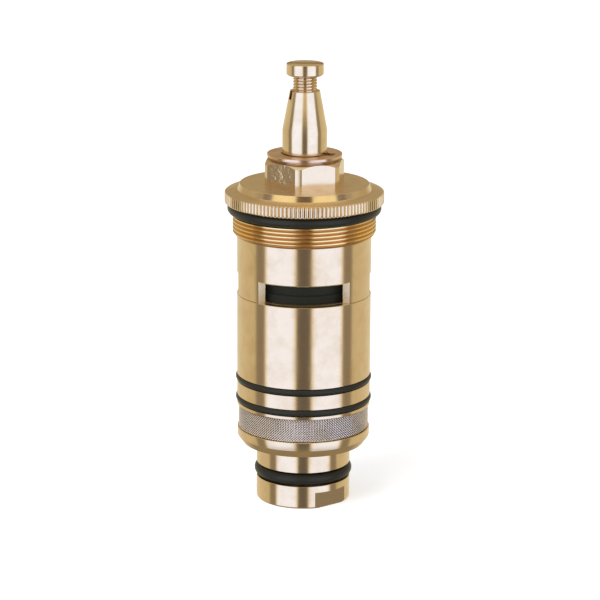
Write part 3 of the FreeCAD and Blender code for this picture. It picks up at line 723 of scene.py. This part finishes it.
class CARTRIDGE_OT_upper_body(bpy.types.Operator):
    """Turns the windowed upper sleeve with its flange and hexagon, and knurls and threads it"""

    bl_idname = "cartridge.upper_body"
    bl_label = "Upper body"

    def execute(self, context):
        body, head = sizes().body, sizes().head
        root = head.thread_radius - head.thread_depth
        seam = body.seam_height + SEAM_GAP
        spigot_end = body.spigot_top + 0.05 * MM
        outline = [
            (body.upper_bore, seam),
            (body.wall_radius - body.seam_break, seam),
            (body.wall_radius, body.seam_height + body.seam_break),
            (body.wall_radius, head.thread_foot - 0.15 * MM),
            (root - head.thread_runout, head.thread_foot),
            (root, head.thread_foot + head.thread_runout),
            (root, head.thread_top),
            (head.neck_radius, head.thread_top),
            (head.neck_radius, head.flange_foot),
            (head.flange_radius - 0.25 * MM, head.flange_foot),
            (head.flange_radius, head.flange_foot + 0.25 * MM),
            (head.flange_radius, head.rim_top - 0.2 * MM),
            (head.flange_radius - 0.3 * MM, head.rim_top),
            (head.step_radius, head.rim_top + head.rim_rise),
            (head.plateau_radius, head.plateau_height),
            (head.bore_radius, head.plateau_height),
            (head.bore_radius, head.shoulder_height),
            (head.chamber_radius, head.shoulder_height),
            (head.chamber_radius, spigot_end),
            (body.upper_bore, spigot_end),
        ]
        sleeve = lathe(outline, ease=0.06 * MM, segments=KNURL_COLUMNS * KNURL_TEETH)
        self.knurl(sleeve, head)
        inside, outside = body.spigot_radius - OVERSHOOT, body.wall_radius + OVERSHOOT
        window = [
            (inside, body.seam_height - OVERSHOOT),
            (outside, body.seam_height - OVERSHOOT),
            (outside, body.window_top + OVERSHOOT + body.window_chamfer),
            (body.wall_radius - body.window_chamfer, body.window_top),
            (inside, body.window_top),
        ]
        sleeve.data.materials.append(brass())
        for bearing in WINDOW_BEARINGS:
            cutter = sector(body.window_half_angle, window)
            turned_to(opened(cutter, body.wall_radius, body.window_opening), bearing)
            cutter.data.materials.append(milled_brass())
            combine(sleeve, cutter)
        finished(sleeve, "upper_sleeve", "housing", None, ["upper_body"])
        finished(self.hexagon(head), "hexagon", "housing", hexagon_brass(head))
        tint = sizes().colours
        metal = turned_metal("thread_brass", tint.thread, roughness=0.16, tarnish=0.3)
        # Painted shade: the thread darkens from its crests towards its root
        paint_shade_by_radius(metal, root, head.thread_radius, tint.thread, tint.thread_crest)
        finished(self.mounting_thread(root, head), "mounting_thread", "housing", metal)
        return {"FINISHED"}

    def mounting_thread(self, root, head):
        """The thread's helix, trimmed at both ends and chamfered, on a thin core of its own colour."""
        pitch, skin = head.thread_pitch, 0.02 * MM
        foot, top = head.thread_foot, head.thread_top - skin
        spare = 0.8  # turns beyond each end, which the trim takes off
        turns = (top - foot) / pitch + 2 * spare
        ridge = thread(root, head.thread_radius, pitch, foot - spare * pitch, turns)
        inside = root - 0.5 * MM
        trim = lathe([
            (inside, foot),
            (root - 0.1 * MM, foot),
            (head.thread_radius + skin, foot + head.thread_lead_in),
            (head.thread_radius + skin, top),
            (inside, top),
        ], ease=0.01 * MM)
        combine(ridge, trim, "INTERSECT")
        core = lathe([
            (inside, foot),
            (root - head.thread_runout + skin, foot),
            (root + skin, foot + head.thread_runout),
            (root + skin, top),
            (inside, top),
        ], ease=0.01 * MM)
        return joined([ridge, core])

    def knurl(self, sleeve, head):
        """Pulls the rim's columns inwards, which leaves teeth with rounded lands."""
        pick(sleeve)
        low, high = head.flange_foot + 0.1 * MM, head.rim_top + 0.02 * MM
        inner = head.flange_radius - 0.15 * MM
        step = 2 * pi / KNURL_COLUMNS / KNURL_TEETH
        depths = {0: head.knurl_depth, 1: head.knurl_rounding, KNURL_COLUMNS - 1: head.knurl_rounding}
        for vertex in sleeve.data.vertices:
            here = vertex.co
            radius = here.xy.length
            column = round(atan2(here.y, here.x) / step) % KNURL_COLUMNS
            if low < here.z < high and radius > inner:
                scale = (radius - depths.get(column, 0.0)) / radius
                vertex.co = (here.x * scale, here.y * scale, here.z)

    def hexagon(self, head):
        """The hexagon with turned corners and the low boss on it."""
        half = head.hex_across_flats / 2
        fall = (head.hex_corner_radius - half) * tan(HEX_CHAMFER)
        sunk = head.plateau_height - 0.3 * MM
        boss_top = head.hex_top + BOSS_HEIGHT
        outline = [
            (head.bore_radius, sunk),
            (head.hex_corner_radius, sunk),
            (head.hex_corner_radius, head.hex_top - fall),
            (half, head.hex_top),
            (head.boss_radius, head.hex_top),
            (head.boss_radius, boss_top),
            (head.bore_radius, boss_top),
        ]
        turned = lathe(outline, ease=0.05 * MM)
        clear_selection()
        bpy.ops.mesh.primitive_cylinder_add(vertices=6, radius=half / cos(pi / 6), depth=20 * MM,
                                            location=(0, 0, head.hex_top),
                                            rotation=(0, 0, head.hex_bearing - pi / 6))
        prism = bpy.context.object
        bpy.ops.object.transform_apply()
        return combine(turned, prism, "INTERSECT")


def hexagon_brass(head):
    """Body brass with a rough, unmilled patch on one flat."""
    material = turned_metal("hexagon_brass", sizes().colours.brass,
                            roughness=0.17, marks=0.05, tarnish=0.05)
    tree = material.node_tree
    bearing = head.hex_bearing - pi / 3
    centre = Vector((sin(bearing), -cos(bearing), 0)) * head.hex_across_flats / 2
    centre.z = (head.plateau_height + head.hex_top) / 2 + 0.4 * MM
    place = place_on(tree)
    away = node(tree, "ShaderNodeVectorMath", {0: place, 1: centre}, operation="DISTANCE")
    centimetres = times(tree, away.outputs["Value"], 100.0)
    inside = ramp(tree, centimetres, [(0.26, 1.0), (0.40, 0.0)])
    patch = bump(tree, noise(tree, place, 480.0, 3.0, 0.6), times(tree, inside, 0.42), 0.5 * MM)
    feed(tree, patch, {"Normal": tree.nodes["Bump"].outputs["Normal"]})
    feed(tree, tree.nodes["Principled BSDF"], {"Normal": patch.outputs["Normal"]})
    return material


class CARTRIDGE_OT_lower_body(bpy.types.Operator):
    """Turns the lower sleeve with its two seal grooves and its windowed spigot"""

    bl_idname = "cartridge.lower_body"
    bl_label = "Lower body"

    def execute(self, context):
        body = sizes().body
        outline = [
            (body.cap_bore, body.foot - body.lip_height),
            (body.lip_bore, body.foot - body.lip_height),
            (body.lip_bore, body.foot),
            (body.wall_radius - 0.2 * MM, body.foot),
            (body.wall_radius, body.foot + 0.2 * MM),
            *groove("body_oring_lower", body.wall_radius, body.groove_width),
            *groove("body_oring_upper", body.wall_radius, body.groove_width),
            (body.wall_radius, body.seam_height - body.seam_break),
            (body.wall_radius - body.seam_break, body.seam_height),
            (body.spigot_radius, body.seam_height),
            (body.spigot_radius, body.spigot_top),
            (body.shuttle_bore, body.spigot_top),
            (body.shuttle_bore, body.cap_bore_top),
            (body.cap_bore, body.cap_bore_top),
        ]
        sleeve = lathe(outline, ease=0.06 * MM)
        inside, outside = body.shuttle_bore - OVERSHOOT, body.spigot_radius + 0.02 * MM
        top = body.window_top + 0.05 * MM
        opening = [(inside, body.seam_height), (outside, body.seam_height),
                   (outside, top), (inside, top)]
        for bearing in WINDOW_BEARINGS:
            combine(sleeve, sector(body.window_half_angle + body.spigot_margin, opening, bearing))
        finished(sleeve, "lower_sleeve", "housing", brass(), ["lower_body"])
        return {"FINISHED"}


class CARTRIDGE_OT_outlet_cap(bpy.types.Operator):
    """Turns the outlet nipple with the strainer flange, and mills its flats and ports"""

    bl_idname = "cartridge.outlet_cap"
    bl_label = "Outlet cap"

    def execute(self, context):
        cap, body = sizes().outlet, sizes().body
        lip_top = cap.flange_top + body.lip_height
        outline = [
            (cap.bore_radius, 0),
            (cap.nipple_radius - cap.nipple_chamfer, 0),
            (cap.nipple_radius, cap.nipple_chamfer),
            *groove("outlet_oring", cap.nipple_radius, cap.groove_width),
            (cap.nipple_radius, cap.nipple_height),
            (cap.flange_foot_radius, cap.nipple_height),
            (cap.flange_radius, cap.nipple_height + cap.taper_height),
            (cap.flange_radius, cap.flange_top),
            (body.lip_bore, cap.flange_top),
            (body.lip_bore, lip_top),
            (cap.spigot_radius, lip_top),
            (cap.spigot_radius, cap.spigot_top),
            (cap.spigot_bore, cap.spigot_top),
            (cap.spigot_bore, lip_top),
            (cap.seat_radius, lip_top),
            (cap.seat_radius, cap.spigot_top),
            (cap.seat_bore, cap.spigot_top),
            (cap.seat_bore, cap.shelf_height),
            (cap.bore_radius, cap.shelf_height),
        ]
        piece = lathe(outline, ease=0.08 * MM)
        for turn in (0.0, pi):
            combine(piece, block(60 * MM, cap.flats_across / 2, 30 * MM, -OVERSHOOT, cap.flats_height,
                                 cap.flats_bearing + turn))
        for i in range(PORTS):
            combine(piece, block(cap.port_width, cap.spigot_bore - 0.4 * MM,
                                 cap.spigot_radius + OVERSHOOT, cap.port_foot,
                                 cap.port_foot + cap.port_height, 2 * pi * (i + 0.5) / PORTS))
        finished(piece, "outlet_nipple", "housing", brass(), ["outlet_cap"])
        return {"FINISHED"}


class CARTRIDGE_OT_strainer(bpy.types.Operator):
    """Weaves the strainer from two sets of slanting wires"""

    bl_idname = "cartridge.strainer"
    bl_label = "Strainer"

    def execute(self, context):
        cap = sizes().outlet
        outside, low, high = ring_of("strainer_sleeve")
        middle = outside - cap.wire
        count = 2 * round(pi * middle / cap.wire_spacing)
        slant = (high - low) / middle
        tint = sizes().colours
        material = turned_metal("strainer_wire", tint.strainer, roughness=0.28, tarnish=0.05)
        # Painted shade: the wires darken towards the axis, where the outer set would shade them
        paint_shade_by_radius(material, middle - 0.02 * MM, middle + 0.16 * MM, tint.strainer_painted_shade, tint.strainer)
        feed(material.node_tree, material.node_tree.nodes["Principled BSDF"], {"Metallic": 0.5})
        foot, rise = low + cap.wire / 2, high - low - cap.wire
        for hand, side in ((1, "right"), (-1, "left")):
            wires = [self.wire(2 * pi * i / count, hand, slant, middle, foot, rise, cap.wire)
                     for i in range(count)]
            obj = self.mesh_of(wires, f"strainer_wires_{side}")
            finished(obj, obj.name, "housing", material, ["strainer_sleeve"])
        return {"FINISHED"}

    def wire(self, start, hand, slant, middle, foot, rise, thickness):
        """Points of one wire, which goes over and under the wires that it crosses."""
        points = []
        for k in range(WIRE_STEPS + 1):
            t = k / WIRE_STEPS
            turn = start + hand * slant * t
            lift = hand * thickness * (WIRE_WAVE * cos(pi * WIRE_CROSSINGS * t) - WIRE_LEAN * sin(turn))
            radius = middle + lift
            points.append((radius * sin(turn), -radius * cos(turn), foot + rise * t))
        return points

    def mesh_of(self, wires, name):
        """One curve object with every wire, bevelled and made a mesh."""
        curve = bpy.data.curves.new(name, "CURVE")
        curve.dimensions = "3D"
        curve.bevel_depth = sizes().outlet.wire / 2
        curve.bevel_resolution = 1
        curve.use_fill_caps = True
        for points in wires:
            spline = curve.splines.new("POLY")
            spline.points.add(len(points) - 1)
            for slot, point in zip(spline.points, points):
                slot.co = (*point, 1)
        obj = bpy.data.objects.new(name, curve)
        bpy.context.collection.objects.link(obj)
        pick(obj)
        bpy.ops.object.convert(target="MESH")
        return bpy.context.object


class CARTRIDGE_OT_spindle(bpy.types.Operator):
    """Turns the tapered spindle with its notch and the collar and stud inside"""

    bl_idname = "cartridge.spindle"
    bl_label = "Spindle"

    def execute(self, context):
        part = sizes().spindle
        low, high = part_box("spindle")
        outline = [
            (part.stud_radius, low.z),
            (part.stud_radius, part.collar_top - part.collar_height),
            (part.collar_radius, part.collar_top - part.collar_height),
            (part.collar_radius, part.collar_top),
            (part.journal_radius, part.collar_top),
            *groove("spindle_oring_lower", part.journal_radius),
            *groove("spindle_oring_upper", part.journal_radius),
            (part.journal_radius, part.step_height),
            (part.radius, part.step_height + 0.1 * MM),
            (part.radius, part.cone_foot),
            (part.cone_top_radius, high.z),
            (part.hole_radius, high.z),
            (part.hole_radius, part.hole_foot),
            (part.hole_tip_radius, part.hole_tip),
            (part.hole_tip_radius, low.z),
        ]
        shaft = lathe(outline, ease=0.08 * MM)
        combine(shaft, block(part.notch_width, part.hole_radius / 2, part.radius,
                             high.z - part.notch_depth, high.z + OVERSHOOT, part.notch_bearing))
        metal = turned_metal("spindle_brass", sizes().colours.spindle, roughness=0.14, marks=0.2)
        finished(shaft, "handle_spindle", "spindle", metal, ["spindle"])
        return {"FINISHED"}


class CARTRIDGE_OT_handle_screw(bpy.types.Operator):
    """Turns the slotted cheese-head screw and threads its shank"""

    bl_idname = "cartridge.handle_screw"
    bl_label = "Handle screw"

    def execute(self, context):
        part = sizes().spindle
        low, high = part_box("handle_screw")
        root = part.screw_radius - part.screw_thread_depth
        outline = [
            (root - part.point_chamfer, low.z),
            (root, low.z + part.point_chamfer),
            (root, part.head_foot),
            (part.head_radius - part.head_chamfer, part.head_foot),
            (part.head_radius, part.head_foot + part.head_chamfer),
            (part.head_radius, high.z - part.head_break),
            (part.head_radius - part.head_break, high.z),
        ]
        screw = lathe_solid(outline, ease=0.08 * MM, segments=120)
        reach = part.head_radius + OVERSHOOT
        combine(screw, block(part.slot_width, -reach, reach, high.z - part.slot_depth,
                             high.z + OVERSHOOT, pi / 2))
        metal = turned_metal("screw_brass", sizes().colours.spindle, roughness=0.15, marks=0.2)
        finished(screw, "screw_head", "spindle", metal, ["handle_screw"])
        turns = int((part.head_foot - low.z) / part.screw_pitch) - 2
        ridge = thread(root, part.screw_radius, part.screw_pitch,
                       part.head_foot - (turns + 0.7) * part.screw_pitch, turns)
        finished(ridge, "screw_thread", "spindle", metal)
        return {"FINISHED"}


class CARTRIDGE_OT_stop_washer(bpy.types.Operator):
    """Makes the coppery stop washer with its notch"""

    bl_idname = "cartridge.stop_washer"
    bl_label = "Stop washer"

    def execute(self, context):
        part = sizes().spindle
        outside, low, high = ring_of("stop_washer")
        outline = [
            (part.washer_hole, low),
            (outside - part.washer_relief, low),
            (outside - part.washer_relief, low + part.washer_relief_height),
            (outside, low + part.washer_relief_height),
            (outside, high - part.washer_break),
            (outside - part.washer_break, high),
            (part.washer_hole, high),
        ]
        washer = lathe(outline, ease=0.05 * MM)
        combine(washer, block(part.washer_notch_width, OVERSHOOT, part.washer_notch_radius,
                              low - OVERSHOOT, high + OVERSHOOT, part.washer_notch_bearing))
        metal = turned_metal("washer_brass", sizes().colours.washer,
                             roughness=0.2, marks=0.5, tarnish=0.25)
        finished(washer, "stop_ring", "housing", metal, ["stop_washer"])
        return {"FINISHED"}


class CARTRIDGE_OT_seals(bpy.types.Operator):
    """Makes every O-ring, with the fine parting line that moulding leaves"""

    bl_idname = "cartridge.seals"
    bl_label = "Seals"

    def execute(self, context):
        homes = {
            "outlet_oring": "housing", "flange_oring": "housing", "body_oring_lower": "housing",
            "body_oring_upper": "housing", "spindle_oring_lower": "spindle",
            "spindle_oring_upper": "spindle", "shuttle_oring": "element",
        }
        for seal, body in homes.items():
            outside, low, high = ring_of(seal)
            section = (high - low) / 2
            clear_selection()
            bpy.ops.mesh.primitive_torus_add(major_radius=outside - section, minor_radius=section,
                                             major_segments=180, minor_segments=32,
                                             location=(0, 0, (low + high) / 2))
            ring = bpy.context.object
            self.parting_line(ring, outside - section)
            finished(ring, f"{seal}_ring", body, rubber(), [seal])
        return {"FINISHED"}

    def parting_line(self, ring, middle_radius):
        """Insets the outermost loop a little, which leaves a witness line."""
        for vertex in ring.data.vertices:
            if abs(vertex.co.z) < 1e-6 and vertex.co.xy.length > middle_radius:
                scale = 1 - PARTING_DEPTH / vertex.co.xy.length
                vertex.co = (vertex.co.x * scale, vertex.co.y * scale, vertex.co.z)


class CARTRIDGE_OT_inner_pieces(bpy.types.Operator):
    """Gives the black shuttle and the pieces inside the body their finishes"""

    bl_idname = "cartridge.inner_pieces"
    bl_label = "Inner pieces"

    def execute(self, context):
        tint = sizes().colours
        inner_brass = turned_metal("inner_brass", tint.brass, roughness=0.22, tarnish=0.2)
        finishes = {
            "shuttle": moulded("shuttle_plastic", tint.plastic, 0.45, shine=0.08, speckle=0.01),
            "regulating_nut": inner_brass, "overload_cup": inner_brass, "capsule_guide": inner_brass,
            "wax_capsule": turned_metal("capsule_copper", tint.copper, roughness=0.24),
            "cup_snap_ring": steel(), "overload_spring": steel(), "piston_pin": steel(),
            "return_spring": steel(), "element_clip": steel(),
            "seat_seal": rubber(), "capsule_diaphragm": rubber(),
            "wax_charge": moulded("element_wax", tint.wax, 0.5),
            "thrust_washer": moulded("thrust_plastic", tint.pale, 0.4),
        }
        for name, material in finishes.items():
            coat(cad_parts[name], material)
        return {"FINISHED"}


class CARTRIDGE_OT_stage(bpy.types.Operator):
    """Sets up the floor, the studio light and the camera"""

    bl_idname = "cartridge.stage"
    bl_label = "Stage"

    def execute(self, context):
        self.floor()
        self.studio()
        self.camera(context.scene)
        context.scene.view_settings.view_transform = "Standard"
        return {"FINISHED"}

    def floor(self):
        """A pale floor that stays white round the part's soft shadow."""
        clear_selection()
        bpy.ops.mesh.primitive_plane_add(size=8, location=(0, 0, -0.02 * MM))
        floor = bpy.context.object
        floor.name = "studio_floor"
        material, tree, shader = new_material("studio_floor")
        seen = node(tree, "ShaderNodeLightPath").outputs["Is Camera Ray"]
        feed(tree, shader, {
            "Base Color": (0.9, 0.9, 0.9),
            "Roughness": 0.9,
            "Emission Color": (1, 1, 1),
            "Emission Strength": times(tree, seen, FLOOR_GLOW),
        })
        coat(floor, material)
        floor.visible_glossy = False

    def studio(self):
        """White surroundings with dark cards, as metal sees them, and an even light for the rest."""
        world = bpy.data.worlds.new("studio")
        bpy.context.scene.world = world
        world.use_nodes = True
        tree = world.node_tree
        tree.nodes.clear()
        x, y, z = axes_of(tree, node(tree, "ShaderNodeTexCoord").outputs["Generated"])
        bearing = math_node(tree, "ARCTAN2", math_node(tree, "ABSOLUTE", x), times(tree, y, -1.0))
        round_share = math_node(tree, "DIVIDE", bearing, pi)
        level, raised, steep = (ramp(tree, round_share, cards)
                                for cards in (LEVEL_CARDS, RAISED_CARDS, STEEP_CARDS))
        height = plus(tree, times(tree, z, 0.5), 0.5)
        around = blend(tree, self.fade(tree, height, *RAISED_FROM), level, raised)
        around = blend(tree, self.fade(tree, height, *STEEP_FROM), around, steep)
        around = blend(tree, self.fade(tree, height, *OVERHEAD_FROM), around, OVERHEAD)
        around = blend(tree, ramp(tree, height, [(0.15, 1.0), (0.29, 0.0)]), around, UNDERNEATH)
        rays = node(tree, "ShaderNodeLightPath").outputs
        mirrored = math_node(tree, "MAXIMUM", rays["Is Glossy Ray"], rays["Is Transmission Ray"])
        shiny = node(tree, "ShaderNodeBackground", {"Color": around})
        plain = node(tree, "ShaderNodeBackground", {"Color": (1, 1, 1), "Strength": DIFFUSE_LIGHT})
        white = node(tree, "ShaderNodeBackground", {"Color": (1, 1, 1)})
        lit = node(tree, "ShaderNodeMixShader", {0: mirrored, 1: plain.outputs[0], 2: shiny.outputs[0]})
        whole = node(tree, "ShaderNodeMixShader",
                     {0: rays["Is Camera Ray"], 1: lit.outputs[0], 2: white.outputs[0]})
        node(tree, "ShaderNodeOutputWorld", {"Surface": whole.outputs[0]})
        self.softbox()

    def fade(self, tree, value, start, end):
        """A share that goes from 0 at start to 1 at end."""
        return ramp(tree, value, [(start, 0.0), (end, 1.0)])

    def softbox(self):
        """A soft lamp from the upper left, which throws the shadow to the right."""
        lamp = bpy.data.lights.new("softbox", "AREA")
        lamp.shape = "DISK"
        lamp.size = 0.9
        lamp.energy = 9.0
        holder = bpy.data.objects.new("softbox", lamp)
        holder.location = (-0.5, -0.6, 1.1)
        holder.rotation_euler = Vector((0.5, 0.6, -1.05)).to_track_quat("-Z", "Y").to_euler()
        holder.visible_glossy = False
        bpy.context.scene.collection.objects.link(holder)

    def camera(self, scene):
        """A long lens a little above the part, level but for the photograph's slight roll."""
        lens_data = bpy.data.cameras.new("camera")
        lens_data.lens = LENS
        lens_data.sensor_width = 36
        lens_data.clip_start = 0.01
        holder = bpy.data.objects.new("camera", lens_data)
        holder.location = CAMERA_PLACE
        turn = Matrix.Rotation(CAMERA_TILT, 3, "X") @ Matrix.Rotation(CAMERA_ROLL, 3, "Z")
        holder.rotation_euler = turn.to_euler()
        scene.collection.objects.link(holder)
        scene.camera = holder


class CARTRIDGE_PT_panel(bpy.types.Panel):
    """Lists the cartridge's pieces in the sidebar"""

    bl_label = "Cartridge"
    bl_idname = "CARTRIDGE_PT_panel"
    bl_space_type = "VIEW_3D"
    bl_region_type = "UI"
    bl_category = "Cartridge"

    def draw(self, context):
        for operator in OPERATORS:
            self.layout.operator(operator.bl_idname)
        for group in ("body", "head", "spindle", "outlet", "colours"):
            box = self.layout.box()
            box.label(text=group.capitalize())
            settings = getattr(context.scene.cartridge, group)
            for name in settings.__annotations__:
                box.prop(settings, name)


GROUPS = (CartridgeBodySizes, CartridgeHeadSizes, CartridgeSpindleSizes, CartridgeOutletSizes,
          CartridgeColours, CartridgeSettings)
OPERATORS = (CARTRIDGE_OT_stage, CARTRIDGE_OT_upper_body, CARTRIDGE_OT_lower_body,
             CARTRIDGE_OT_outlet_cap, CARTRIDGE_OT_strainer, CARTRIDGE_OT_spindle,
             CARTRIDGE_OT_handle_screw, CARTRIDGE_OT_stop_washer, CARTRIDGE_OT_seals,
             CARTRIDGE_OT_inner_pieces)


def register():
    for cls in (*GROUPS, *OPERATORS, CARTRIDGE_PT_panel):
        bpy.utils.register_class(cls)
    bpy.types.Scene.cartridge = bpy.props.PointerProperty(
        type=CartridgeSettings, name="Cartridge", description="Sizes and colours of the cartridge")


def unregister():
    del bpy.types.Scene.cartridge
    for cls in reversed((*GROUPS, *OPERATORS, CARTRIDGE_PT_panel)):
        bpy.utils.unregister_class(cls)


def main():
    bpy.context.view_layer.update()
    register()
    for operator in OPERATORS:
        getattr(bpy.ops.cartridge, operator.bl_idname.partition(".")[2])()


if __name__ == "__main__":
    main()
